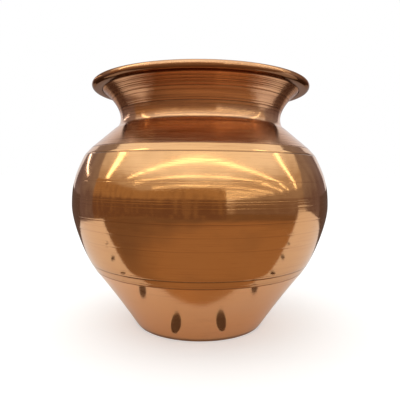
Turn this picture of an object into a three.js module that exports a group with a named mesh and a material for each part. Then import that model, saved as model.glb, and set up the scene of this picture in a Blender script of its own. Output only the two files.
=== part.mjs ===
// Kalash (lota): a round-bellied water pot of sheet copper with a flared, wire-rolled mouth.
// Four spun sheet pieces are lapped into one another, brazed from the inside and turned smooth:
// the neck collar, the upper and the lower half of the belly, and the base pan.
// Millimetres, +Z up, origin at the middle of the resting face.

import * as THREE from 'three';

// ---- Driving dimensions ----------------------------------------------------------------

const BELLY_RADIUS = 70;        // widest point of the belly, outside
const BELLY_HEIGHT = 66.5;      // height of that widest point
const WAIST_RADIUS = 44.35;     // narrowest point of the neck, outside
const WAIST_HEIGHT = 113.5;
const MOUTH_ROLL_HEIGHT = 130;  // middle of the rolled lip
const MOUTH_ROLL_RADIUS = 57.4; // radius of the ring that the roll follows
const ROLL_OUTER = 1.95;        // radius of the roll's own round section
const SHEET = 1.0;              // thickness of the copper sheet
const LIP_SHEET = 0.8;          // the sheet is drawn thinner where it rolls round the wire
const WIRE_RADIUS = 0.85;       // wire inside the roll
const FIT_GAP = 0.3;            // room left between neighbouring pieces
const TUCK = 4.0;               // how far each piece reaches inside the one below it
const JOGGLE = 2.0;             // length over which a sheet steps inwards before its tuck
const FILLET_LENGTH = 1.8;      // braze fillet along the wall
const FILLET_HEIGHT = 1.2;      // braze fillet against the end of the tuck
const GROOVE_WIDTH = 0.9;
const GROOVE_DEPTH = 0.25;
const SHOULDER_SEAM = [59.8, 96.7];    // radius and height where the collar enters the belly
const SHOULDER_GROOVE = [63.2, 92.9];  // turned groove that ends the shoulder band
const BASE_GROOVE = [60.5, 36.1];      // turned groove above the base seam
const BASE_SEAM = [58.2, 32.4];        // where the belly enters the base pan
const FOOT_RADIUS = 35.1;       // resting face, outside
const FOOT_CORNER = [37.2, 2.9];
const DISH_RADIUS = 21;         // the middle of the base is pressed up a little
const DISH_SLOPE = 1.5;
const DISH_DEPTH = 0.6;
const NECK_GROOVE_HEIGHTS = [123.1, 117.2];
const FACETS = 36;              // straight steps round the pot

// ---- Curves of the outside, each running downwards ----------------------------------------

const at = (radius, height) => new THREE.Vector2(radius, height);

function bend(start, pullStart, pullEnd, end, steps) {
  return new THREE.CubicBezierCurve(at(...start), at(...pullStart), at(...pullEnd), at(...end))
    .getPoints(steps);
}

const NECK_TOP = [53.4, 127.8];
const SHOULDER_TOP = [47.4, 107.35];

const neckFlare = bend(NECK_TOP, [47.1, 122.95], [WAIST_RADIUS, 117.2], [WAIST_RADIUS, WAIST_HEIGHT], 9);
const waistBend = bend([WAIST_RADIUS, WAIST_HEIGHT], [WAIST_RADIUS, 108.5], [46.8, 107.9], SHOULDER_TOP, 5);
const shoulderCone = [at(...SHOULDER_TOP), at(...SHOULDER_SEAM)];
const shoulderBand = [at(...SHOULDER_SEAM), at(...SHOULDER_GROOVE)];
const upperBelly = bend(SHOULDER_GROOVE, [67.9, 83.3], [BELLY_RADIUS, 78], [BELLY_RADIUS, BELLY_HEIGHT], 9);
const lowerBelly = bend([BELLY_RADIUS, BELLY_HEIGHT], [BELLY_RADIUS, 57.3], [63.4, 41.2], BASE_GROOVE, 9);
const baseBand = [at(...BASE_GROOVE), at(...BASE_SEAM)];
const baseCone = new THREE.QuadraticBezierCurve(at(...BASE_SEAM), at(47.2, 18.2), at(...FOOT_CORNER))
  .getPoints(4);
const footCorner = new THREE.QuadraticBezierCurve(at(...FOOT_CORNER), at(35.9, 1.0), at(FOOT_RADIUS, 0))
  .getPoints(3);

// The outside of the wall as one line, measured along its own length from the top of the neck.
// An inset run of it gives any parallel surface of the sheet.
class Meridian {
  constructor(...curves) {
    this.points = [];
    this.lengths = [];
    for (const curve of curves) {
      this.append(curve);
    }
  }

  append(curve) {
    for (const point of curve) {
      const last = this.points.at(-1);
      if (last && last.distanceTo(point) < 1e-6) continue;
      this.lengths.push(last ? this.lengths.at(-1) + last.distanceTo(point) : 0);
      this.points.push(point);
    }
  }

  lengthAt([radius, height]) {
    const target = at(radius, height);
    const index = this.points.findIndex((point) => point.distanceTo(target) < 1e-6);
    return this.lengths[index];
  }

  lengthAtHeight(height) {
    const index = this.points.findIndex((point) => point.y < height);
    const above = this.points[index - 1];
    const share = (above.y - height) / (above.y - this.points[index].y);
    return THREE.MathUtils.lerp(this.lengths[index - 1], this.lengths[index], share);
  }

  inwardAtPoint(index) {
    const before = this.points[Math.max(index - 1, 0)];
    const after = this.points[Math.min(index + 1, this.points.length - 1)];
    const along = after.clone().sub(before).normalize();
    return at(along.y, -along.x);
  }

  place(length, depth) {
    const last = this.points.length - 1;
    const found = this.lengths.findIndex((value) => value >= length - 1e-9);
    const index = Math.min(Math.max(found, 1), last);
    const share = (length - this.lengths[index - 1]) / (this.lengths[index] - this.lengths[index - 1]);
    const inward = this.inwardAtPoint(index - 1).lerp(this.inwardAtPoint(index), share).normalize();
    return this.points[index - 1].clone().lerp(this.points[index], share).addScaledVector(inward, depth);
  }

  // Points from one length to another at a constant depth; it runs backwards when from > to.
  run(from, to, depth) {
    const low = Math.min(from, to);
    const high = Math.max(from, to);
    const inner = this.lengths.filter((value) => value > low + 0.05 && value < high - 0.05);
    const stations = [low, ...inner, high];
    const line = stations.map((length) => this.place(length, depth));
    return from > to ? line.reverse() : line;
  }

  // The outside surface from one length down to another, with V grooves turned into it.
  turned(from, to, grooves) {
    const line = [];
    let start = from;
    for (const groove of grooves) {
      line.push(...this.run(start, groove - GROOVE_WIDTH / 2, 0));
      line.push(this.place(groove, GROOVE_DEPTH));
      start = groove + GROOVE_WIDTH / 2;
    }
    line.push(...this.run(start, to, 0));
    return line;
  }
}

const wall = new Meridian(
  neckFlare, waistBend, shoulderCone, shoulderBand, upperBelly, lowerBelly, baseBand, baseCone, footCorner,
);
const shoulderSeam = wall.lengthAt(SHOULDER_SEAM);
const bellySeam = wall.lengthAt([BELLY_RADIUS, BELLY_HEIGHT]);
const baseSeam = wall.lengthAt(BASE_SEAM);
const footEdge = wall.lengthAt([FOOT_RADIUS, 0]);

// ---- Sections that the pieces share --------------------------------------------------------

// The lower edge of a sheet: a step inwards at the seam, then the tuck inside the next piece.
function tuckedEdge(seam) {
  const outside = SHEET + FIT_GAP;
  const inside = outside + SHEET;
  return [
    ...wall.run(seam, seam + TUCK, outside),
    ...wall.run(seam + TUCK, seam, inside),
    wall.place(seam - JOGGLE, SHEET),
  ];
}

// A body of revolution from a closed section of [radius, height] points.
function spin(name, section, material) {
  const outline = section.filter((point, i) => i === 0 || point.distanceTo(section[i - 1]) > 1e-4);
  const startsAndEndsOnAxis = outline[0].x === 0 && outline.at(-1).x === 0;
  const loop = THREE.ShapeUtils.area(outline) > 0 ? outline : outline.reverse();
  const profile = startsAndEndsOnAxis ? loop : [...loop, loop[0].clone()];
  const geometry = new THREE.LatheGeometry(profile, FACETS);
  geometry.rotateX(Math.PI / 2);
  const mesh = new THREE.Mesh(geometry, material);
  mesh.name = name;
  return mesh;
}

function arc(centre, radius, fromDegrees, toDegrees, steps) {
  const line = [];
  for (let i = 0; i <= steps; i += 1) {
    const angle = THREE.MathUtils.degToRad(THREE.MathUtils.lerp(fromDegrees, toDegrees, i / steps));
    line.push(at(centre.x + radius * Math.cos(angle), centre.y + radius * Math.sin(angle)));
  }
  return line;
}

// ---- Pieces ---------------------------------------------------------------------------------

const rollCentre = at(MOUTH_ROLL_RADIUS, MOUTH_ROLL_HEIGHT);

// Neck, flare and shoulder in one sheet. Its mouth edge is rolled outwards and down round the wire
// and turned in flat underneath, and it ends just short of the neck.
function neckCollar(material) {
  const cavity = arc(rollCentre, ROLL_OUTER - LIP_SHEET, 150, -90, 7);
  const hemEnd = [at(55.0, 128.75), at(54.05, 128.05)];
  const roll = arc(rollCentre, ROLL_OUTER, -90, 120, 7);
  const throat = [at(55.3, 130.75)];
  const neckGrooves = NECK_GROOVE_HEIGHTS.map((height) => wall.lengthAtHeight(height));
  const section = [
    ...wall.turned(0, shoulderSeam, neckGrooves),
    ...tuckedEdge(shoulderSeam),
    ...wall.run(shoulderSeam - JOGGLE - 1, 0, SHEET),
    ...throat,
    ...roll.reverse(),
    ...hemEnd.reverse(),
    ...cavity.reverse(),
  ];
  return spin('neck_collar', section, material);
}

function rimWire(material) {
  return spin('rim_wire', arc(rollCentre, WIRE_RADIUS, 0, 315, 7), material);
}

function bellyUpperShell(material) {
  const groove = wall.lengthAt(SHOULDER_GROOVE);
  const section = [
    ...wall.turned(shoulderSeam + FIT_GAP, bellySeam, [groove]),
    ...tuckedEdge(bellySeam),
    ...wall.run(bellySeam - JOGGLE - 1, shoulderSeam + FIT_GAP, SHEET),
  ];
  return spin('belly_upper_shell', section, material);
}

function bellyLowerShell(material) {
  const groove = wall.lengthAt(BASE_GROOVE);
  const section = [
    ...wall.turned(bellySeam + FIT_GAP, baseSeam, [groove]),
    ...tuckedEdge(baseSeam),
    ...wall.run(baseSeam - JOGGLE - 1, bellySeam + FIT_GAP, SHEET),
  ];
  return spin('belly_lower_shell', section, material);
}

// Straight-sided cone with a flat resting ring and a shallow dish pressed into the middle.
function basePan(material) {
  const underside = [
    at(DISH_RADIUS + DISH_SLOPE, 0),
    at(DISH_RADIUS, DISH_DEPTH),
    at(0, DISH_DEPTH),
  ];
  const floor = [
    at(0, DISH_DEPTH + SHEET),
    at(DISH_RADIUS, DISH_DEPTH + SHEET),
    at(DISH_RADIUS + DISH_SLOPE, SHEET),
    at(FOOT_RADIUS - SHEET / 2, SHEET),
  ];
  const cornerTop = wall.lengthAt(FOOT_CORNER);
  const section = [
    ...underside.reverse(),
    ...wall.run(footEdge, baseSeam + FIT_GAP, 0),
    ...wall.run(baseSeam + FIT_GAP, cornerTop, SHEET),
    ...floor.reverse(),
  ];
  return spin('base_pan', section, material);
}

// A fillet of braze in the corner between the end of a tuck and the wall behind it.
function brazeRing(name, seam, material) {
  const start = seam + TUCK + FIT_GAP;
  const depth = SHEET + FIT_GAP;
  const section = [
    wall.place(start, depth),
    wall.place(start, depth + FILLET_HEIGHT),
    wall.place(start + FILLET_LENGTH, depth),
  ];
  return spin(name, section, material);
}

// ---- Finishes -------------------------------------------------------------------------------

const polishedCopper = new THREE.MeshStandardMaterial({ color: 0xc98352, roughness: 0.2, metalness: 1 });
const satinCopper = new THREE.MeshStandardMaterial({ color: 0xcf8f63, roughness: 0.35, metalness: 1 });
const neckCopper = new THREE.MeshStandardMaterial({ color: 0xb06a3c, roughness: 0.28, metalness: 1 });
const wireCopper = new THREE.MeshStandardMaterial({ color: 0x9a5a33, roughness: 0.5, metalness: 1 });
const braze = new THREE.MeshStandardMaterial({ color: 0xc2a25a, roughness: 0.55, metalness: 1 });

// ---- The pot --------------------------------------------------------------------------------

const kalash = new THREE.Group();
kalash.add(
  rimWire(wireCopper),
  neckCollar(neckCopper),
  brazeRing('shoulder_braze_ring', shoulderSeam, braze),
  bellyUpperShell(polishedCopper),
  brazeRing('belly_braze_ring', bellySeam, braze),
  bellyLowerShell(polishedCopper),
  brazeRing('base_braze_ring', baseSeam, braze),
  basePan(satinCopper),
);

export default kalash;
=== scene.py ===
"""Looks of a copper kalash pot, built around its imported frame. Metres, +Z up.

The pot is four spun sheets lapped and brazed into one another, with a wire rolled into the lip.
Each sheet is drawn as its cross-section, point by point, and spun about the pot's axis.
"""

import math

import bpy
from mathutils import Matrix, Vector
from mathutils.geometry import interpolate_bezier


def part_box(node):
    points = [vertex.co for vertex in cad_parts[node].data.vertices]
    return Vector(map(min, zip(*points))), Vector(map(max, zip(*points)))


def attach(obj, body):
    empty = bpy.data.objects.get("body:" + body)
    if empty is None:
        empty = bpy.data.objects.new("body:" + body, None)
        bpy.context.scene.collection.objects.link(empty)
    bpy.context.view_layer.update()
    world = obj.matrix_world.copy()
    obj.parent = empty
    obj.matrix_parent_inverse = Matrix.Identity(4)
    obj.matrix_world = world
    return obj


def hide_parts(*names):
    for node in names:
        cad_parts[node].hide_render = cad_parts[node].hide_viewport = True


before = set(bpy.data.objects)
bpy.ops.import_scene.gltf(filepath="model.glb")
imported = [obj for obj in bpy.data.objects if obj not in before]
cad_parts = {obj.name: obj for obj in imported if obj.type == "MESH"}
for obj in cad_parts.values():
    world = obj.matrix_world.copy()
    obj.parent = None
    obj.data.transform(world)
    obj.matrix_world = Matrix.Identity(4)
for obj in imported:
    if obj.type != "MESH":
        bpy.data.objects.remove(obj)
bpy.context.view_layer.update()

# ---- Driving dimensions, in millimetres of the full-size pot --------------------------------

BELLY_RADIUS = 70.0
BELLY_HEIGHT = 66.5
WAIST_RADIUS = 44.35
WAIST_HEIGHT = 113.5
ROLL_CENTRE = (57.4, 130.0)
ROLL_OUTER = 1.95
SHEET = 1.0
LIP_SHEET = 0.8
WIRE_RADIUS = 0.85
TUCK = 4.0
JOGGLE = 2.0
TUCK_DEPTH = 1.3
FILLET_LENGTH = 1.8
FILLET_HEIGHT = 1.2
NECK_TOP = (53.4, 127.8)
SHOULDER_TOP = (47.4, 107.35)
SHOULDER_SEAM = (59.8, 96.7)
SHOULDER_GROOVE = (63.2, 92.9)
BASE_GROOVE = (60.5, 36.1)
BASE_SEAM = (58.2, 32.4)
FOOT_CORNER = (37.2, 2.9)
FOOT_EDGE = (35.1, 0.0)
DISH_RADIUS = 21.0
DISH_SLOPE = 1.5
DISH_DEPTH = 0.6

SEAM_OPENING = 0.12     # hairline left between two turned sheets
FLUSH_OPENING = 0.02    # the belly seam is dressed flush and nearly vanishes
SEAM_ROUNDING = 0.18    # softened edge on each side of a seam
GROOVE_WIDTH = 0.8
GROOVE_DEPTH = 0.16
RING_WIDTH = 0.45       # tool marks left on the flare of the neck, as (height, depth)
NECK_RINGS = ((127.3, 0.06), (126.8, 0.11), (126.2, 0.05), (125.6, 0.12), (124.9, 0.10),
              (124.3, 0.05), (123.1, 0.15), (121.6, 0.03), (118.3, 0.06), (117.2, 0.15), (115.8, 0.03))
BELLY_LINES = (79.6, 71.7, 70.6, 68.9, 62.1, 56.4, 50.3, 37.3, 33.6)
LINE_DEPTH = 0.02
LINE_WIDTH = 0.4
PLAIN_STEP = 1.1        # spacing of section points on plain wall
TUCK_STEP = 0.8         # in a tuck
FINE_STEP = 0.7         # on the ringed neck and on the base's cone
SEAM_MARGIN = 0.4       # from a seam to the first plain point below it
JOGGLE_MARGIN = 0.8     # from a joggle to the first plain point above it
FIT_GAP = 0.3           # room left between a tuck and its braze
LATHE_RING_DEPTH = 0.12
CENTRE_MARK_DEPTH = 0.25
BRAZE_LUMP_SIZE = 3.0
BRAZE_LUMP_HEIGHT = 0.18
THROAT_HEIGHT = 118.0   # the inside is scoured up to here, and turned like the outside above
SPIN_STEPS = 256

# The frame sets the scale: the belly's half width there is BELLY_RADIUS here.
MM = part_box("belly_upper_shell")[1][0] / BELLY_RADIUS


# ---- The wall's outside line ----------------------------------------------------------------

def curve(start, pull_start, pull_end, end, steps=40):
    """Points of a smooth bend from start to end, as (radius, height)."""
    corners = [Vector(point) for point in (start, pull_start, pull_end, end)]
    return interpolate_bezier(*corners, steps)


def soft_corner(start, corner, end, steps=10):
    """Points of a bend that leaves start and reaches end along the two sides of a corner."""
    a, b, c = Vector(start), Vector(corner), Vector(end)
    return interpolate_bezier(a, a.lerp(b, 2 / 3), c.lerp(b, 2 / 3), c, steps)


def arc(centre, radius, start_degrees, end_degrees, steps):
    """Points of an arc round centre."""
    line = []
    for i in range(steps + 1):
        angle = math.radians(start_degrees + (end_degrees - start_degrees) * i / steps)
        line.append(Vector(centre) + radius * Vector((math.cos(angle), math.sin(angle))))
    return line


class Meridian:
    """The outside of the wall as one line running down from the neck, measured along its length."""

    def __init__(self, *curves):
        self.points = []
        self.lengths = []
        for line in curves:
            for point in line:
                self.append(Vector(point))

    def append(self, point):
        if not self.points:
            self.points, self.lengths = [point], [0.0]
            return
        step = (point - self.points[-1]).length
        if step > 1e-6:
            self.points.append(point)
            self.lengths.append(self.lengths[-1] + step)

    def length_at(self, place):
        """Length at which the line passes closest to a place."""
        gaps = [(point - Vector(place)).length for point in self.points]
        return self.lengths[gaps.index(min(gaps))]

    def length_at_height(self, height):
        index = next(i for i, point in enumerate(self.points) if point.y < height)
        above, below = self.points[index - 1], self.points[index]
        share = (above.y - height) / (above.y - below.y)
        return self.lengths[index - 1] * (1 - share) + self.lengths[index] * share

    def inward(self, index):
        before = self.points[max(index - 1, 0)]
        after = self.points[min(index + 1, len(self.points) - 1)]
        along = (after - before).normalized()
        return Vector((along.y, -along.x))

    def place(self, length, depth=0.0):
        """The point at a length along the line, and a depth inside it."""
        last = len(self.points) - 1
        index = next((i for i, value in enumerate(self.lengths) if value >= length), last)
        index = max(index, 1)
        span = self.lengths[index] - self.lengths[index - 1]
        share = (length - self.lengths[index - 1]) / span
        inward = self.inward(index - 1).lerp(self.inward(index), share).normalized()
        return self.points[index - 1].lerp(self.points[index], share) + inward * depth

    def run(self, start, end, depth=0.0, step=PLAIN_STEP):
        """Evenly spaced points from one length to another at one depth."""
        count = max(1, round(abs(end - start) / step))
        return [self.place(start + (end - start) * i / count, depth) for i in range(count + 1)]


NECK_FLARE = curve(NECK_TOP, (47.1, 122.95), (WAIST_RADIUS, 117.2), (WAIST_RADIUS, WAIST_HEIGHT))
WAIST_BEND = curve((WAIST_RADIUS, WAIST_HEIGHT), (WAIST_RADIUS, 108.5), (46.8, 107.9), SHOULDER_TOP)
UPPER_BELLY = curve(SHOULDER_GROOVE, (67.9, 83.3), (BELLY_RADIUS, 78.0), (BELLY_RADIUS, BELLY_HEIGHT))
LOWER_BELLY = curve((BELLY_RADIUS, BELLY_HEIGHT), (BELLY_RADIUS, 57.3), (63.4, 41.2), BASE_GROOVE)
BASE_CONE = soft_corner(BASE_SEAM, (47.2, 18.2), FOOT_CORNER, 24)
FOOT_BEND = soft_corner(FOOT_CORNER, (35.9, 1.0), FOOT_EDGE)

wall = Meridian(
    NECK_FLARE, WAIST_BEND, [SHOULDER_SEAM], UPPER_BELLY, LOWER_BELLY, [BASE_SEAM], BASE_CONE, FOOT_BEND)
shoulder_seam = wall.length_at(SHOULDER_SEAM)
belly_seam = wall.length_at((BELLY_RADIUS, BELLY_HEIGHT))
base_seam = wall.length_at(BASE_SEAM)
foot_corner = wall.length_at(FOOT_CORNER)
foot_edge = wall.length_at(FOOT_EDGE)


# ---- Stretches of section that several sheets share ------------------------------------------

def groove(length, width=GROOVE_WIDTH, depth=GROOVE_DEPTH):
    """A soft round-bottomed groove turned into the outside at one length."""
    shape = ((-0.5, 0.0), (-0.3, 0.35), (-0.12, 0.9), (0.12, 0.9), (0.3, 0.35), (0.5, 0.0))
    return [wall.place(length + across * width, down * depth) for across, down in shape]


def turned_run(start, end, grooves, step=PLAIN_STEP):
    """The outside from one length down to another, with grooves (middle, width, depth) cut into it."""
    line = []
    for middle, width, depth in sorted(grooves):
        line += wall.run(start, middle - width / 2, 0.0, step)[:-1]
        line += groove(middle, width, depth)
        start = middle + width / 2 + 0.02
    return line + wall.run(start, end, 0.0, step)


def softened_lower_edge(seam, opening):
    """The outside edge of a sheet where it meets the sheet below, turned a little round."""
    end = seam - opening / 2
    if opening < SEAM_OPENING:
        return [wall.place(end)]
    return [
        wall.place(end - SEAM_ROUNDING),
        wall.place(end - SEAM_ROUNDING * 0.3, SEAM_ROUNDING * 0.25),
        wall.place(end, SEAM_ROUNDING),
    ]


def softened_upper_edge(seam, opening):
    """The same on the upper edge of the sheet below."""
    start = seam + opening / 2
    if opening < SEAM_OPENING:
        return [wall.place(start)]
    return [
        wall.place(start, SEAM_ROUNDING),
        wall.place(start + SEAM_ROUNDING * 0.3, SEAM_ROUNDING * 0.25),
        wall.place(start + SEAM_ROUNDING),
    ]


def tucked_edge(seam, opening):
    """A step inwards at the seam, the tuck inside the next sheet, and the way back up inside."""
    outside = TUCK_DEPTH
    inside = outside + SHEET
    end = seam - opening / 2
    return (
        softened_lower_edge(seam, opening)
        + wall.run(end, seam + TUCK, outside, TUCK_STEP)
        + wall.run(seam + TUCK, seam - 0.2, inside, TUCK_STEP)
        + [wall.place(seam - JOGGLE * 0.5, (SHEET + inside) / 2)]
        + [wall.place(seam - JOGGLE, SHEET + 0.04)]
    )


# ---- Modelling by hand: a point, extruded along the section, spun round the axis ---------------

def deselect_all():
    if bpy.context.object and bpy.context.object.mode != "OBJECT":
        bpy.ops.object.mode_set(mode="OBJECT")
    bpy.ops.object.select_all(action="DESELECT")


def to_metres(point):
    return Vector((point.x * MM, 0.0, point.y * MM))


def spin_section(name, section, on_axis=False):
    """Draws a section in the XZ plane and spins it into a closed body round the Z axis."""
    deselect_all()
    places = [to_metres(point) for point in section]
    bpy.ops.mesh.primitive_plane_add(size=MM, location=places[0])
    piece = bpy.context.object
    piece.name = name
    bpy.ops.object.mode_set(mode="EDIT")
    bpy.ops.mesh.merge(type="CENTER")
    route = places if on_axis else places + places[:1]
    for here, there in zip(route, route[1:]):
        bpy.ops.mesh.extrude_region_move(TRANSFORM_OT_translate={"value": there - here})
    bpy.ops.mesh.select_all(action="SELECT")
    bpy.ops.mesh.remove_doubles(threshold=0.002 * MM)
    bpy.ops.mesh.select_all(action="SELECT")
    bpy.ops.mesh.spin(steps=SPIN_STEPS, angle=2 * math.pi, center=(0, 0, 0), axis=(0, 0, 1))
    bpy.ops.mesh.select_all(action="SELECT")
    bpy.ops.mesh.remove_doubles(threshold=0.002 * MM)
    bpy.ops.mesh.normals_make_consistent(inside=False)
    bpy.ops.object.mode_set(mode="OBJECT")
    bpy.ops.object.transform_apply(location=True, rotation=True, scale=True)
    bpy.ops.object.shade_smooth_by_angle(angle=math.radians(35))
    return piece


def finish_piece(piece, node, outside, inside=None, is_inside=None):
    """Gives a piece its finishes, hangs it under the root body and hides the frame node it stands for."""
    piece.data.materials.clear()
    piece.data.materials.append(outside)
    if inside:
        piece.data.materials.append(inside)
        for face in piece.data.polygons:
            face.material_index = 1 if is_inside(face.center / MM, face.normal) else 0
    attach(piece, "root")
    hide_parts(node)


# ---- Finishes: shared effects ----------------------------------------------------------------

def new_group(name, inputs, outputs):
    """A shader node group with named number inputs and its outputs, as (name, kind)."""
    tree = bpy.data.node_groups.new(name, "ShaderNodeTree")
    for label, value in inputs:
        socket = tree.interface.new_socket(label, in_out="INPUT", socket_type="NodeSocketFloat")
        socket.default_value = value
    for label, kind in outputs:
        tree.interface.new_socket(label, in_out="OUTPUT", socket_type=kind)
    return tree, tree.nodes.new("NodeGroupInput"), tree.nodes.new("NodeGroupOutput")


def math_node(tree, operation, a, b=None):
    """A Math node; a and b are sockets or numbers."""
    node = tree.nodes.new("ShaderNodeMath")
    node.operation = operation
    for slot, value in enumerate((a, b)):
        if value is None:
            continue
        if isinstance(value, (int, float)):
            node.inputs[slot].default_value = value
        else:
            tree.links.new(value, node.inputs[slot])
    return node.outputs[0]


def map_range(tree, value, low, high, to_low=0.0, to_high=1.0):
    """A smooth step from one number to another as a value goes from low to high."""
    node = tree.nodes.new("ShaderNodeMapRange")
    node.interpolation_type = "SMOOTHSTEP"
    node.inputs["From Min"].default_value = low
    node.inputs["From Max"].default_value = high
    node.inputs["To Min"].default_value = to_low
    node.inputs["To Max"].default_value = to_high
    tree.links.new(value, node.inputs["Value"])
    return node.outputs["Result"]


def blend_colours(tree, factor, a, b):
    """A Mix node between two colours; a and b are sockets or colours."""
    mix = tree.nodes.new("ShaderNodeMix")
    mix.data_type = "RGBA"
    tree.links.new(factor, mix.inputs["Factor"])
    for label, value in (("A", a), ("B", b)):
        if isinstance(value, tuple):
            mix.inputs[label].default_value = (*value, 1.0)
        else:
            tree.links.new(value, mix.inputs[label])
    return mix.outputs["Result"]


def around_coordinates(tree):
    """Radius, height and the unit direction round the axis, from Object coordinates."""
    coordinates = tree.nodes.new("ShaderNodeTexCoord")
    split = tree.nodes.new("ShaderNodeSeparateXYZ")
    tree.links.new(coordinates.outputs["Object"], split.inputs[0])
    x, y, z = split.outputs
    radius = math_node(tree, "SQRT", math_node(
        tree, "ADD", math_node(tree, "MULTIPLY", x, x), math_node(tree, "MULTIPLY", y, y)))
    safe = math_node(tree, "MAXIMUM", radius, 1e-5)
    return radius, z, math_node(tree, "DIVIDE", x, safe), math_node(tree, "DIVIDE", y, safe)


def build_turning_lines():
    """Lines left by the lathe: noise that is fine across the wall and long round the pot."""
    tree, given, put_out = new_group(
        "turning_lines",
        [("Lines per metre", 2500.0), ("Breaks round", 3.0), ("Seed", 0.0), ("Detail", 3.0)],
        [("Lines", "NodeSocketFloat")])
    radius, height, east, north = around_coordinates(tree)
    pace = given.outputs["Lines per metre"]
    breaks = given.outputs["Breaks round"]
    place = tree.nodes.new("ShaderNodeCombineXYZ")
    tree.links.new(math_node(tree, "MULTIPLY", east, breaks), place.inputs[0])
    tree.links.new(math_node(tree, "MULTIPLY", north, breaks), place.inputs[1])
    tree.links.new(math_node(tree, "MULTIPLY", height, pace), place.inputs[2])
    noise = tree.nodes.new("ShaderNodeTexNoise")
    noise.noise_dimensions = "4D"
    noise.inputs["Scale"].default_value = 1.0
    noise.inputs["Roughness"].default_value = 0.6
    tree.links.new(given.outputs["Detail"], noise.inputs["Detail"])
    tree.links.new(place.outputs[0], noise.inputs["Vector"])
    across = math_node(tree, "MULTIPLY", radius, pace)
    tree.links.new(math_node(tree, "ADD", across, given.outputs["Seed"]), noise.inputs["W"])
    tree.links.new(noise.outputs["Fac"], put_out.inputs["Lines"])
    return tree


def build_soft_patches():
    """Slow cloudy variation, for tarnish, handling and unevenness of the sheet."""
    tree, given, put_out = new_group(
        "soft_patches",
        [("Patches per metre", 30.0), ("Seed", 0.0), ("Low", 0.35), ("High", 0.7)],
        [("Patches", "NodeSocketFloat")])
    coordinates = tree.nodes.new("ShaderNodeTexCoord")
    noise = tree.nodes.new("ShaderNodeTexNoise")
    noise.noise_dimensions = "4D"
    noise.inputs["Detail"].default_value = 4.0
    tree.links.new(coordinates.outputs["Object"], noise.inputs["Vector"])
    tree.links.new(given.outputs["Patches per metre"], noise.inputs["Scale"])
    tree.links.new(given.outputs["Seed"], noise.inputs["W"])
    ramp = tree.nodes.new("ShaderNodeMapRange")
    ramp.interpolation_type = "SMOOTHSTEP"
    tree.links.new(noise.outputs["Fac"], ramp.inputs["Value"])
    tree.links.new(given.outputs["Low"], ramp.inputs["From Min"])
    tree.links.new(given.outputs["High"], ramp.inputs["From Max"])
    tree.links.new(ramp.outputs["Result"], put_out.inputs["Patches"])
    return tree


def build_seam_shade():
    """A narrow band at one height, for grime along a seam, or for darkening a groove or turned line."""
    tree, given, put_out = new_group(
        "seam_shade",
        [("Height", 0.0), ("Half width", 0.0005)],
        [("Shade", "NodeSocketFloat")])
    coordinates = tree.nodes.new("ShaderNodeTexCoord")
    split = tree.nodes.new("ShaderNodeSeparateXYZ")
    tree.links.new(coordinates.outputs["Object"], split.inputs[0])
    gap = math_node(tree, "ABSOLUTE", math_node(
        tree, "SUBTRACT", split.outputs[2], given.outputs["Height"]))
    share = math_node(tree, "DIVIDE", gap, given.outputs["Half width"])
    tree.links.new(math_node(tree, "SUBTRACT", 1.0, math_node(tree, "MINIMUM", share, 1.0)),
                   put_out.inputs["Shade"])
    return tree


TURNING_LINES = build_turning_lines()
SOFT_PATCHES = build_soft_patches()
SEAM_SHADE = build_seam_shade()


class Finish:
    """A metal material in the making: a Principled shader fed by colours, roughness and bumps."""

    def __init__(self, name, colour, anisotropic=0.0):
        self.material = bpy.data.materials.new(name)
        self.material.use_nodes = True
        self.tree = self.material.node_tree
        self.shader = self.tree.nodes["Principled BSDF"]
        self.shader.inputs["Metallic"].default_value = 1.0
        self.shader.inputs["Anisotropic"].default_value = anisotropic
        self.shader.inputs["Anisotropic Rotation"].default_value = 0.25
        if anisotropic:
            tangent = self.tree.nodes.new("ShaderNodeTangent")
            tangent.direction_type = "RADIAL"
            tangent.axis = "Z"
            self.tree.links.new(tangent.outputs[0], self.shader.inputs["Tangent"])
        first = self.tree.nodes.new("ShaderNodeRGB")
        first.outputs[0].default_value = (*colour, 1.0)
        self.colour = first.outputs[0]
        self.normal = None

    def effect(self, group, output, **values):
        """Places a shared effect with its own values, and returns what it puts out."""
        node = self.tree.nodes.new("ShaderNodeGroup")
        node.node_tree = group
        for label, value in values.items():
            node.inputs[label.replace("_", " ")].default_value = value
        return node.outputs[output]

    def lines(self, per_metre, breaks=3.0, seed=0.0, detail=3.0):
        return self.effect(TURNING_LINES, "Lines", Lines_per_metre=per_metre, Breaks_round=breaks,
                           Seed=seed, Detail=detail)

    def patches(self, per_metre, seed=0.0, low=0.35, high=0.7):
        return self.effect(SOFT_PATCHES, "Patches", Patches_per_metre=per_metre, Seed=seed, Low=low,
                           High=high)

    def seam(self, height, half_width=0.5):
        return self.effect(SEAM_SHADE, "Shade", Height=height * MM, Half_width=half_width * MM)

    def tint(self, mask, colour, strength=1.0):
        """Blends a colour in where a mask says."""
        share = math_node(self.tree, "MULTIPLY", mask, strength)
        self.colour = blend_colours(self.tree, share, self.colour, colour)

    def dull_edge(self, mask, colour):
        """Dims the glancing reflections where a mask says."""
        edge = blend_colours(self.tree, mask, (1.0, 1.0, 1.0), colour)
        self.tree.links.new(edge, self.shader.inputs["Specular Tint"])

    def bump(self, height, distance, strength=1.0):
        """Adds relief; distance is in millimetres."""
        node = self.tree.nodes.new("ShaderNodeBump")
        node.inputs["Strength"].default_value = strength
        node.inputs["Distance"].default_value = distance * MM
        self.tree.links.new(height, node.inputs["Height"])
        if self.normal:
            self.tree.links.new(self.normal, node.inputs["Normal"])
        self.normal = node.outputs[0]

    def done(self, roughness):
        self.tree.links.new(self.colour, self.shader.inputs["Base Color"])
        self.tree.links.new(roughness, self.shader.inputs["Roughness"])
        if self.normal:
            self.tree.links.new(self.normal, self.shader.inputs["Normal"])
        return self.material


# ---- Finishes: the pot's own -------------------------------------------------------------------

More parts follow.
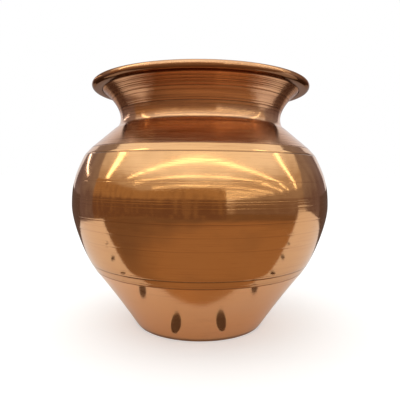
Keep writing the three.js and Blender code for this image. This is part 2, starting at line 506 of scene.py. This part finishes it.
COPPER = (0.80, 0.42, 0.19)
TURNED_COPPER = (0.80, 0.42, 0.225)
# Painted light: lighter than the belly's copper, to brighten the shaded table the base pan mirrors.
SATIN_COPPER_PAINTED_LIGHT = (0.98, 0.50, 0.225)
SCOURED_COPPER = (0.62, 0.30, 0.155)
DRAWN_COPPER = (0.42, 0.19, 0.10)
BRAZE_METAL = (0.52, 0.36, 0.13)
BRAZE_STAIN = (0.20, 0.12, 0.06)
DEEP_COPPER = (0.66, 0.30, 0.135)
PALE_COPPER = (0.86, 0.52, 0.33)
TARNISH = (0.40, 0.16, 0.07)
WARM_TARNISH = (0.42, 0.19, 0.105)
# Dark tint: grime in seams and on the wire, painted shade under the rolled lip and along the foot's edge,
# and dark bands along grooves and tool rings.
GRIME_AND_PAINTED_SHADE = (0.16, 0.07, 0.035)
DULL_EDGE = (0.50, 0.42, 0.38)   # what tarnished copper still mirrors at a glancing angle

# Where a look starts and where it is complete, in millimetres up the pot or out from its axis.
FLARE_HEIGHTS = (111.0, 119.0)
LIP_RADII = (53.9, 54.6)
# Painted shade: the recess under the rolled lip is darkened between these heights and radii.
UNDER_ROLL_HEIGHTS = (129.7, 128.9)
UNDER_ROLL_RADII = (53.3, 53.9)
# Painted shade along the foot's bottom edge, where it meets the floor.
FOOT_PAINTED_SHADE_HEIGHTS = (2.2, 0.6)
SEAM_SHADE_OFFSET = 0.1


def zone(tree, measure, limits):
    """A mask that rises from nothing at the first limit to full at the second."""
    start, full = limits
    return map_range(tree, measure, start * MM, full * MM)


def polished_copper():
    """Belly: buffed nearly to a mirror, with the lathe's hair lines running round it."""
    finish = Finish("polished_copper", COPPER, anisotropic=0.5)
    hair = finish.lines(2600, breaks=5, seed=2.0, detail=4)
    broad = finish.lines(900, breaks=0.9, seed=7.0, detail=3)
    cloud = finish.patches(22, seed=3.0)
    finish.tint(map_range(finish.tree, hair, 0.52, 0.72), DEEP_COPPER, 0.55)
    finish.tint(map_range(finish.tree, broad, 0.52, 0.72), DEEP_COPPER, 0.40)
    finish.tint(cloud, PALE_COPPER, 0.15)
    # The shoulder and base grooves are darkened along a narrow band.
    for height in (SHOULDER_GROOVE[1], BASE_GROOVE[1]):
        finish.tint(finish.seam(height, 0.45), GRIME_AND_PAINTED_SHADE, 0.75)
    finish.tint(finish.seam(BASE_SEAM[1] + SEAM_SHADE_OFFSET, 0.35), GRIME_AND_PAINTED_SHADE, 0.7)
    for height in BELLY_LINES:
        finish.tint(finish.seam(height, 0.22), TARNISH, 0.3)
    finish.bump(hair, 0.008)
    finish.bump(broad, 0.007)
    finish.bump(finish.patches(55, seed=11.0, low=0.2, high=0.8), 0.018)
    return finish.done(map_range(finish.tree, hair, 0.3, 0.8, 0.07, 0.17))


def turned_copper():
    """Neck, shoulder and lip: straight off the tool, darker, with plain rings, and painted shade under the
    rolled lip.
    """
    finish = Finish("turned_copper", TURNED_COPPER, anisotropic=0.9)
    tree = finish.tree
    radius, height, _, _ = around_coordinates(tree)
    flare = zone(tree, height, FLARE_HEIGHTS)
    # Painted shade in the recess under the rolled lip, on the flare only.
    under_roll_painted_shade = math_node(tree, "MULTIPLY", zone(tree, height, UNDER_ROLL_HEIGHTS),
                           zone(tree, radius, UNDER_ROLL_RADII))
    under_roll_painted_shade = math_node(tree, "MULTIPLY", under_roll_painted_shade, flare)
    finish.dull_edge(flare, DULL_EDGE)
    lip = math_node(tree, "MULTIPLY", flare, zone(tree, radius, LIP_RADII))
    flare = math_node(tree, "MULTIPLY", flare, math_node(tree, "SUBTRACT", 1.0, lip))
    hair = finish.lines(2200, breaks=5, seed=5.0, detail=4)
    rings = finish.lines(1300, breaks=1.0, seed=9.0, detail=3)
    finish.tint(map_range(tree, rings, 0.46, 0.62), WARM_TARNISH, 0.5)
    finish.tint(map_range(tree, hair, 0.55, 0.75), WARM_TARNISH, 0.3)
    finish.tint(finish.patches(26, seed=6.0), PALE_COPPER, 0.3)
    # Each tool ring on the neck is darkened, the more the deeper it is cut.
    for ring_height, depth in NECK_RINGS:
        finish.tint(finish.seam(ring_height, 0.3), GRIME_AND_PAINTED_SHADE, 0.25 + 3.0 * depth)
    finish.tint(finish.seam(SHOULDER_SEAM[1] + SEAM_SHADE_OFFSET, 0.3), GRIME_AND_PAINTED_SHADE, 0.6)
    # Paints shade into the colour under the rolled lip.
    finish.tint(under_roll_painted_shade, GRIME_AND_PAINTED_SHADE, 0.8)
    calm = math_node(tree, "SUBTRACT", 1.0, math_node(tree, "MULTIPLY", lip, 0.8))
    finish.bump(math_node(tree, "MULTIPLY", hair, calm), 0.010)
    finish.bump(math_node(tree, "MULTIPLY", rings, calm), 0.016)
    finish.bump(finish.patches(60, seed=13.0, low=0.2, high=0.8), 0.012)
    fine = map_range(tree, hair, 0.3, 0.8, 0.0, 0.08)
    broad = math_node(tree, "ADD", math_node(tree, "MULTIPLY", flare, 0.06), 0.14)
    smooth = math_node(tree, "MULTIPLY", lip, 0.05)
    return finish.done(math_node(tree, "SUBTRACT", math_node(tree, "ADD", fine, broad), smooth))


def satin_copper():
    """Base pan: softer, rubbed on the lathe but not buffed. Its colour is painted lighter than the belly's
    to brighten the shaded table it mirrors.
    """
    finish = Finish("satin_copper", SATIN_COPPER_PAINTED_LIGHT, anisotropic=0.4)
    hair = finish.lines(2400, breaks=6, seed=21.0, detail=4)
    broad = finish.lines(380, breaks=2.5, seed=23.0, detail=2)
    finish.tint(map_range(finish.tree, hair, 0.5, 0.75), DEEP_COPPER, 0.12)
    finish.tint(finish.patches(35, seed=27.0), PALE_COPPER, 0.2)
    finish.tint(map_range(finish.tree, broad, 0.55, 0.75), DEEP_COPPER, 0.2)
    height = around_coordinates(finish.tree)[1]
    # Painted shade: the foot darkens towards its bottom edge by the floor.
    finish.tint(zone(finish.tree, height, FOOT_PAINTED_SHADE_HEIGHTS), GRIME_AND_PAINTED_SHADE, 0.6)
    finish.tint(finish.seam(BASE_SEAM[1] - SEAM_SHADE_OFFSET, 0.3), GRIME_AND_PAINTED_SHADE, 0.5)
    finish.bump(hair, 0.008)
    finish.bump(broad, 0.008)
    return finish.done(map_range(finish.tree, hair, 0.3, 0.8, 0.09, 0.19))


def inner_copper():
    """Inside of the pot: scoured and a little tarnished, never buffed."""
    finish = Finish("inner_copper", SCOURED_COPPER, anisotropic=0.3)
    hair = finish.lines(1500, breaks=5, seed=31.0, detail=4)
    stain = finish.patches(24, seed=33.0, low=0.42, high=0.62)
    finish.tint(stain, TARNISH, 0.55)
    finish.tint(finish.patches(60, seed=35.0, low=0.5, high=0.75), PALE_COPPER, 0.25)
    finish.bump(hair, 0.03)
    return finish.done(map_range(finish.tree, hair, 0.3, 0.8, 0.28, 0.48))


def braze_alloy():
    """Braze as it set: yellowish, matt and slightly lumpy."""
    finish = Finish("braze_alloy", BRAZE_METAL)
    grain = finish.patches(900, seed=41.0, low=0.3, high=0.7)
    finish.tint(finish.patches(150, seed=43.0), BRAZE_STAIN, 0.6)
    finish.bump(grain, 0.05)
    return finish.done(map_range(finish.tree, grain, 0.0, 1.0, 0.45, 0.62))


def drawn_wire():
    """Wire inside the lip: dull drawn copper with a little oxide."""
    finish = Finish("drawn_wire", DRAWN_COPPER)
    grain = finish.patches(700, seed=51.0, low=0.3, high=0.7)
    finish.tint(finish.patches(90, seed=53.0), GRIME_AND_PAINTED_SHADE, 0.5)
    finish.bump(grain, 0.02)
    return finish.done(map_range(finish.tree, grain, 0.0, 1.0, 0.35, 0.55))


POLISHED = polished_copper()
TURNED = turned_copper()
SATIN = satin_copper()
INNER = inner_copper()
BRAZE = braze_alloy()
WIRE = drawn_wire()


# ---- Pieces --------------------------------------------------------------------------------------

def faces_axis(centre, normal):
    """True on the side of a sheet that looks in towards the pot's axis."""
    outwards = Vector((centre.x, centre.y, 0.0)).normalized()
    return normal.dot(outwards) < -0.05


def make_neck_collar():
    """Lip roll, flare, waist and shoulder in one sheet."""
    cavity = arc(ROLL_CENTRE, ROLL_OUTER - LIP_SHEET, -90, 150, 24)
    roll = arc(ROLL_CENTRE, ROLL_OUTER, 120, -90, 36)
    hem = [(54.25, 128.05), (54.05, 128.08), (54.1, 128.2), (55.0, 128.75)]
    rings = [(wall.length_at_height(height), RING_WIDTH, depth) for height, depth in NECK_RINGS]
    throat_lip = curve(roll[0], (55.4, 131.12), (54.3, 129.95), wall.place(0, SHEET), 8)
    section = turned_run(0.0, shoulder_seam - SEAM_OPENING - SEAM_ROUNDING, rings, FINE_STEP)
    section += tucked_edge(shoulder_seam, SEAM_OPENING)
    section += wall.run(shoulder_seam - JOGGLE - JOGGLE_MARGIN, 0.0, SHEET)
    section += throat_lip[-2:0:-1]
    section += roll
    section += [Vector(point) for point in hem]
    section += cavity
    piece = spin_section("neck_collar_turned", section)
    finish_piece(
        piece, "neck_collar", TURNED, INNER,
        lambda centre, normal: faces_axis(centre, normal) and centre.z < THROAT_HEIGHT)


def make_belly_upper():
    """Upper half of the belly with the shoulder band."""
    section = softened_upper_edge(shoulder_seam, SEAM_OPENING)
    cuts = [(wall.length_at(SHOULDER_GROOVE), GROOVE_WIDTH, GROOVE_DEPTH)]
    cuts += [(wall.length_at_height(z), LINE_WIDTH, LINE_DEPTH) for z in BELLY_LINES if z > BELLY_HEIGHT]
    section += turned_run(shoulder_seam + SEAM_MARGIN, belly_seam - 0.1, cuts)
    section += tucked_edge(belly_seam, FLUSH_OPENING)
    section += wall.run(belly_seam - JOGGLE - JOGGLE_MARGIN, shoulder_seam + SEAM_OPENING / 2, SHEET)
    piece = spin_section("belly_upper_spun", section)
    finish_piece(piece, "belly_upper_shell", POLISHED, INNER, faces_axis)


def make_belly_lower():
    """Lower half of the belly with the lower band."""
    section = softened_upper_edge(belly_seam, FLUSH_OPENING)
    cuts = [(wall.length_at(BASE_GROOVE), GROOVE_WIDTH, GROOVE_DEPTH)]
    cuts += [(wall.length_at_height(z), LINE_WIDTH, LINE_DEPTH) for z in BELLY_LINES if z < BELLY_HEIGHT]
    section += turned_run(belly_seam + SEAM_MARGIN, base_seam - SEAM_OPENING - SEAM_ROUNDING, cuts)
    section += tucked_edge(base_seam, SEAM_OPENING)
    section += wall.run(base_seam - JOGGLE - JOGGLE_MARGIN, belly_seam + FLUSH_OPENING / 2, SHEET)
    piece = spin_section("belly_lower_spun", section)
    finish_piece(piece, "belly_lower_shell", POLISHED, INNER, faces_axis)


def make_base_pan():
    """Cone, foot and the bottom with its shallow dish and the lathe centre's mark."""
    ring_floor = DISH_DEPTH + LATHE_RING_DEPTH
    underside = [
        (0.0, DISH_DEPTH + CENTRE_MARK_DEPTH), (0.7, DISH_DEPTH),
        (6.0, DISH_DEPTH), (6.3, ring_floor), (6.6, DISH_DEPTH),
        (14.0, DISH_DEPTH), (14.3, ring_floor), (14.6, DISH_DEPTH),
        (DISH_RADIUS - 0.3, DISH_DEPTH), (DISH_RADIUS + 0.3, DISH_DEPTH - 0.12),
        (DISH_RADIUS + DISH_SLOPE - 0.3, 0.1), (DISH_RADIUS + DISH_SLOPE + 0.3, 0.0),
        (26.0, 0.0), (30.0, 0.0),
    ]
    floor = [
        (FOOT_EDGE[0] - 0.5, SHEET), (30.0, SHEET), (26.0, SHEET),
        (DISH_RADIUS + DISH_SLOPE, SHEET), (DISH_RADIUS, DISH_DEPTH + SHEET),
        (14.0, DISH_DEPTH + SHEET), (0.0, DISH_DEPTH + SHEET),
    ]
    section = [Vector(point) for point in underside]
    section += wall.run(foot_edge, base_seam + SEAM_ROUNDING + SEAM_OPENING, 0.0, FINE_STEP)
    section += softened_upper_edge(base_seam, SEAM_OPENING)[::-1]
    section += wall.run(base_seam + SEAM_OPENING / 2, foot_corner, SHEET, 1.2)
    section += [Vector(point) for point in floor]
    piece = spin_section("base_pan_spun", section, on_axis=True)
    finish_piece(
        piece, "base_pan", SATIN, INNER,
        lambda centre, normal: (faces_axis(centre, normal) and normal.z > 0) or normal.z > 0.9)


def make_rim_wire():
    """Round wire inside the rolled lip."""
    piece = spin_section("rim_wire_drawn", arc(ROLL_CENTRE, WIRE_RADIUS, 0, 345, 23))
    finish_piece(piece, "rim_wire", WIRE)


def make_braze_ring(name, node, seam):
    """A hollow-faced fillet of braze in the corner behind a tuck, a little lumpy along its length."""
    start = seam + TUCK + FIT_GAP
    heel = wall.place(start, TUCK_DEPTH)
    top = wall.place(start, TUCK_DEPTH + FILLET_HEIGHT)
    toe = wall.place(start + FILLET_LENGTH, TUCK_DEPTH)
    face = curve(top, top.lerp(heel, 0.55), toe.lerp(heel, 0.45), toe, 8)
    piece = spin_section(name, [heel, *face])
    deselect_all()
    piece.select_set(True)
    bpy.context.view_layer.objects.active = piece
    bpy.ops.object.modifier_add(type="DISPLACE")
    lumps = bpy.data.textures.new(name + "_lumps", "CLOUDS")
    lumps.noise_scale = BRAZE_LUMP_SIZE * MM
    displace = piece.modifiers[-1]
    displace.texture = lumps
    displace.texture_coords = "LOCAL"
    displace.mid_level = 0.6
    displace.strength = BRAZE_LUMP_HEIGHT * MM
    bpy.ops.object.modifier_apply(modifier=displace.name)
    finish_piece(piece, node, BRAZE)


make_rim_wire()
make_neck_collar()
make_braze_ring("shoulder_braze_fillet", "shoulder_braze_ring", shoulder_seam)
make_belly_upper()
make_braze_ring("belly_braze_fillet", "belly_braze_ring", belly_seam)
make_belly_lower()
make_braze_ring("base_braze_fillet", "base_braze_ring", base_seam)
make_base_pan()


# ---- Stage: floor, and a plain room that only the copper's polish sees -----------------------------

TABLE_FRONT = -0.0515
TABLE_BACK = 0.135
TABLE_LEFT = -0.26
TABLE_RIGHT = 1.2
ROOM_LEFT = -3.8
ROOM_RIGHT = 6.0
ROOM_FRONT = -11.0
SHELVES_FRONT = -3.3
SHELVES_RIGHT = 1.3
ROOM_BACK = 0.75
ROOM_FLOOR = -0.85
ROOM_TOP = 1.3
LAMP_ROWS = (           # (place from front to back, left end, right end, width)
    (-0.02, -3.3, -0.70, 0.20), (-0.06, 0.75, 5.8, 0.11), (-1.02, -2.4, 5.8, 0.09),
    (-1.7, -2.7, 5.8, 0.09), (-2.85, -2.4, 5.8, 0.12), (-3.9, 1.4, 5.8, 0.15),
    (-5.2, 1.4, 5.8, 0.2), (-6.8, 1.4, 5.8, 0.3), (-8.8, 1.4, 5.8, 0.4))
HOLE_ROW = -0.0414      # a row of oval holes along the table's front edge
HOLE_ROW_SLANT = -0.045
HOLE_PAIRS = 5
HOLE_STEP = 0.0285
HOLE_HALF_WIDTH = 0.0032
HOLE_HALF_LENGTH = 0.0050
HOLE_LIFT = 0.0003
GOODS_SIZE = (0.62, 0.078)
BACK_LIGHT_SIZE = (1.15, 0.97)
BACK_LIGHT_HEIGHT = 0.29
FLOOR_DROP = 0.00005    # keeps the far floor just below the table top
FLOOR_LIFT = 0.36       # light the floor gives off towards the camera only
UPRIGHT = math.pi / 2


def mirror_only(piece):
    """Leaves a stage piece visible in the copper's reflections and nowhere else."""
    piece.visible_camera = False
    piece.visible_diffuse = False
    piece.visible_shadow = False
    piece.visible_transmission = False


def stage_plane(name, material, centre, size, rotation=(0.0, 0.0, 0.0), reflected_only=False):
    """A flat stage piece; reflected_only ones are seen in the copper and nowhere else."""
    deselect_all()
    bpy.ops.mesh.primitive_plane_add(size=1.0, location=centre, rotation=rotation)
    piece = bpy.context.object
    piece.name = name
    piece.scale = (size[0], size[1], 1.0)
    bpy.ops.object.transform_apply(location=True, rotation=True, scale=True)
    piece.data.materials.append(material)
    if reflected_only:
        mirror_only(piece)
    return piece


def pale_matt():
    """Floor that reads as plain white, a little dimmer where the polish mirrors it."""
    material = bpy.data.materials.new("stage_pale_matt")
    material.use_nodes = True
    tree = material.node_tree
    shader = tree.nodes["Principled BSDF"]
    shader.inputs["Base Color"].default_value = (0.74, 0.735, 0.72, 1.0)
    shader.inputs["Roughness"].default_value = 0.9
    shader.inputs["Specular IOR Level"].default_value = 0.0
    shader.inputs["Emission Color"].default_value = (1.0, 1.0, 1.0, 1.0)
    path = tree.nodes.new("ShaderNodeLightPath")
    lift = math_node(tree, "MULTIPLY", path.outputs["Is Camera Ray"], FLOOR_LIFT)
    tree.links.new(lift, shader.inputs["Emission Strength"])
    return material


def glow(name, colour, other=None, fade=None, mottle=0.0, scale=2.0, upright=1.0):
    """A surface of plain light. It fades into the other colour by (measure, start, end), mottled,
    and the mottling is drawn out upwards by a factor."""
    material = bpy.data.materials.new(name)
    material.use_nodes = True
    tree = material.node_tree
    tree.nodes.clear()
    lamp = tree.nodes.new("ShaderNodeEmission")
    lamp.inputs["Color"].default_value = (*colour, 1.0)
    output = tree.nodes.new("ShaderNodeOutputMaterial")
    tree.links.new(lamp.outputs[0], output.inputs["Surface"])
    if not other:
        return material
    measure, start, end = fade
    radius, height, _, _ = around_coordinates(tree)
    blend = map_range(tree, {"distance": radius, "height": height}[measure], start, end)
    noise = tree.nodes.new("ShaderNodeTexNoise")
    noise.inputs["Scale"].default_value = scale
    noise.inputs["Detail"].default_value = 3.0
    coordinates = tree.nodes.new("ShaderNodeTexCoord")
    stretch = tree.nodes.new("ShaderNodeMapping")
    stretch.inputs["Scale"].default_value = (1.0, 1.0, 1.0 / upright)
    tree.links.new(coordinates.outputs["Object"], stretch.inputs["Vector"])
    tree.links.new(stretch.outputs[0], noise.inputs["Vector"])
    swing = map_range(tree, noise.outputs["Fac"], 0.3, 0.7, -mottle, mottle)
    shade = blend_colours(tree, math_node(tree, "ADD", blend, swing), colour, other)
    tree.links.new(shade, lamp.inputs["Color"])
    return material


def move_origin(piece, place):
    """Puts a piece's origin somewhere else, so that its pattern is measured from there."""
    bpy.context.scene.cursor.location = place
    deselect_all()
    piece.select_set(True)
    bpy.context.view_layer.objects.active = piece
    bpy.ops.object.origin_set(type="ORIGIN_CURSOR")


def build_floor():
    pale = pale_matt()
    table_size = (TABLE_RIGHT - TABLE_LEFT, TABLE_BACK - TABLE_FRONT)
    table_centre = ((TABLE_RIGHT + TABLE_LEFT) / 2, (TABLE_BACK + TABLE_FRONT) / 2, 0.0)
    stage_plane("stage_floor_near", pale, table_centre, table_size)
    far = stage_plane("stage_floor_far", pale, (0.0, 0.0, -FLOOR_DROP), (60.0, 60.0))
    far.visible_glossy = False


def wall_across(name, material, y, left, right):
    """A wall from left to right, facing along Y."""
    centre = ((left + right) / 2, y, (ROOM_TOP + ROOM_FLOOR) / 2)
    stage_plane(name, material, centre, (right - left, ROOM_TOP - ROOM_FLOOR), (UPRIGHT, 0, 0), True)


def wall_along(name, material, x, front, back):
    """A wall from front to back, facing along X."""
    centre = (x, (front + back) / 2, (ROOM_TOP + ROOM_FLOOR) / 2)
    stage_plane(name, material, centre, (ROOM_TOP - ROOM_FLOOR, back - front), (0, UPRIGHT, 0), True)


def build_room():
    """A wide, low shop seen only in the polish: rows of lamps, shelves on the left, dark goods and
    a bright panel behind the pot, and a row of holes in the table."""
    middle = ((ROOM_LEFT + ROOM_RIGHT) / 2, (ROOM_FRONT + ROOM_BACK) / 2)
    size = (ROOM_RIGHT - ROOM_LEFT, ROOM_BACK - ROOM_FRONT)
    ceiling = glow("room_ceiling", (1.10, 1.20, 1.20), (0.52, 0.45, 0.35),
                   ("distance", 1.1, 3.0), 0.15)
    floor = glow("room_floor", (0.38, 0.235, 0.118), (0.20, 0.13, 0.08),
                 ("distance", 1.0, 2.7), 0.25, 1.2)
    shelves = glow("room_shelves", (0.17, 0.10, 0.065), (0.40, 0.27, 0.14),
                   ("height", 0.1, 0.6), 0.4, 5.0, upright=3.0)
    far_wall = glow("room_far_wall", (0.34, 0.27, 0.22), (0.9, 0.9, 0.8),
                    ("height", 0.3, 0.9), 0.3, 1.0)
    side = glow("room_side", (0.22, 0.16, 0.13), (0.36, 0.31, 0.26),
                ("height", -0.1, 0.8), 0.3, 1.4)
    back = glow("room_back", (0.17, 0.13, 0.13), (0.30, 0.27, 0.26),
                ("height", 0.0, 0.9), 0.3, 2.5)
    stage_plane("room_ceiling", ceiling, (*middle, ROOM_TOP), size, reflected_only=True)
    ground = stage_plane("room_floor", floor, (*middle, ROOM_FLOOR), size, reflected_only=True)
    move_origin(ground, (0.9, -0.5, ROOM_FLOOR))
    wall_across("room_shelves_front", shelves, SHELVES_FRONT, ROOM_LEFT, SHELVES_RIGHT)
    wall_along("room_shelves_end", shelves, SHELVES_RIGHT, ROOM_FRONT, SHELVES_FRONT)
    wall_along("room_shelves_left", shelves, ROOM_LEFT, SHELVES_FRONT, ROOM_BACK)
    wall_across("room_far_wall", far_wall, ROOM_FRONT, SHELVES_RIGHT, ROOM_RIGHT)
    wall_along("room_side_right", side, ROOM_RIGHT, ROOM_FRONT, ROOM_BACK)
    wall_across("room_back", back, ROOM_BACK, ROOM_LEFT, ROOM_RIGHT)
    lamp = glow("room_lamp", (3.3, 3.3, 2.5))
    for y, left, right, width in LAMP_ROWS:
        stage_plane("room_lamp_row", lamp, ((left + right) / 2, y, ROOM_TOP - 0.02), (right - left, width),
                    reflected_only=True)
    goods = glow("room_goods", (0.12, 0.085, 0.07))
    stage_plane("room_goods_behind", goods, (0.0, TABLE_BACK, GOODS_SIZE[1] / 2), GOODS_SIZE,
                (UPRIGHT, 0, 0), True)
    window = glow("room_window", (4.0, 4.0, 4.0))
    stage_plane("room_window", window, (-1.05, ROOM_BACK - 0.02, 0.44), (0.80, 0.035),
                (UPRIGHT, 0.14, 0), True)
    dark = glow("table_hole", (0.09, 0.065, 0.05))
    for step in range(-HOLE_PAIRS, HOLE_PAIRS + 1):
        deselect_all()
        east = HOLE_STEP * (step + 0.5)
        place = (east, HOLE_ROW + HOLE_ROW_SLANT * east, HOLE_LIFT)
        bpy.ops.mesh.primitive_circle_add(vertices=48, radius=1.0, fill_type="NGON", location=place)
        hole = bpy.context.object
        hole.name = "table_hole"
        hole.scale = (HOLE_HALF_WIDTH, HOLE_HALF_LENGTH, 1.0)
        hole.data.materials.append(dark)
        mirror_only(hole)
    bright = glow("room_back_light", (0.78, 0.78, 0.80))
    stage_plane("room_back_light", bright, (0.0, ROOM_BACK - 0.03, BACK_LIGHT_HEIGHT), BACK_LIGHT_SIZE,
                (UPRIGHT, 0, 0), True)


def build_light():
    """Even pale surroundings and one large soft light overhead."""
    world = bpy.data.worlds.new("studio")
    bpy.context.scene.world = world
    world.use_nodes = True
    sky = world.node_tree.nodes["Background"]
    sky.inputs["Color"].default_value = (1.0, 1.0, 1.0, 1.0)
    sky.inputs["Strength"].default_value = 1.0
    deselect_all()
    bpy.ops.object.light_add(type="AREA", location=(-0.25, -0.35, 1.2), rotation=(-0.28, -0.2, 0.0))
    softbox = bpy.context.object
    softbox.name = "softbox_overhead"
    softbox.data.shape = "DISK"
    softbox.data.size = 1.1
    softbox.data.energy = 3.0
    softbox.visible_glossy = False


def build_camera():
    """Close in front of the pot, a little above its middle, looking slightly down."""
    deselect_all()
    distance = 238.9 * MM
    height = 82.1 * MM
    pitch = math.radians(3.26)
    roll = math.radians(-0.45)
    bpy.ops.object.camera_add(location=(0.0, -distance, height))
    camera = bpy.context.object
    camera.rotation_mode = "XYZ"
    camera.rotation_euler = (math.pi / 2 - pitch, roll, 0.0)
    camera.data.lens = 37.665
    camera.data.sensor_width = 36.0
    camera.data.clip_start = 0.01
    bpy.context.scene.camera = camera


build_floor()
build_room()
build_light()
build_camera()
bpy.context.scene.view_settings.view_transform = "Standard"
bpy.context.scene.view_settings.look = "None"
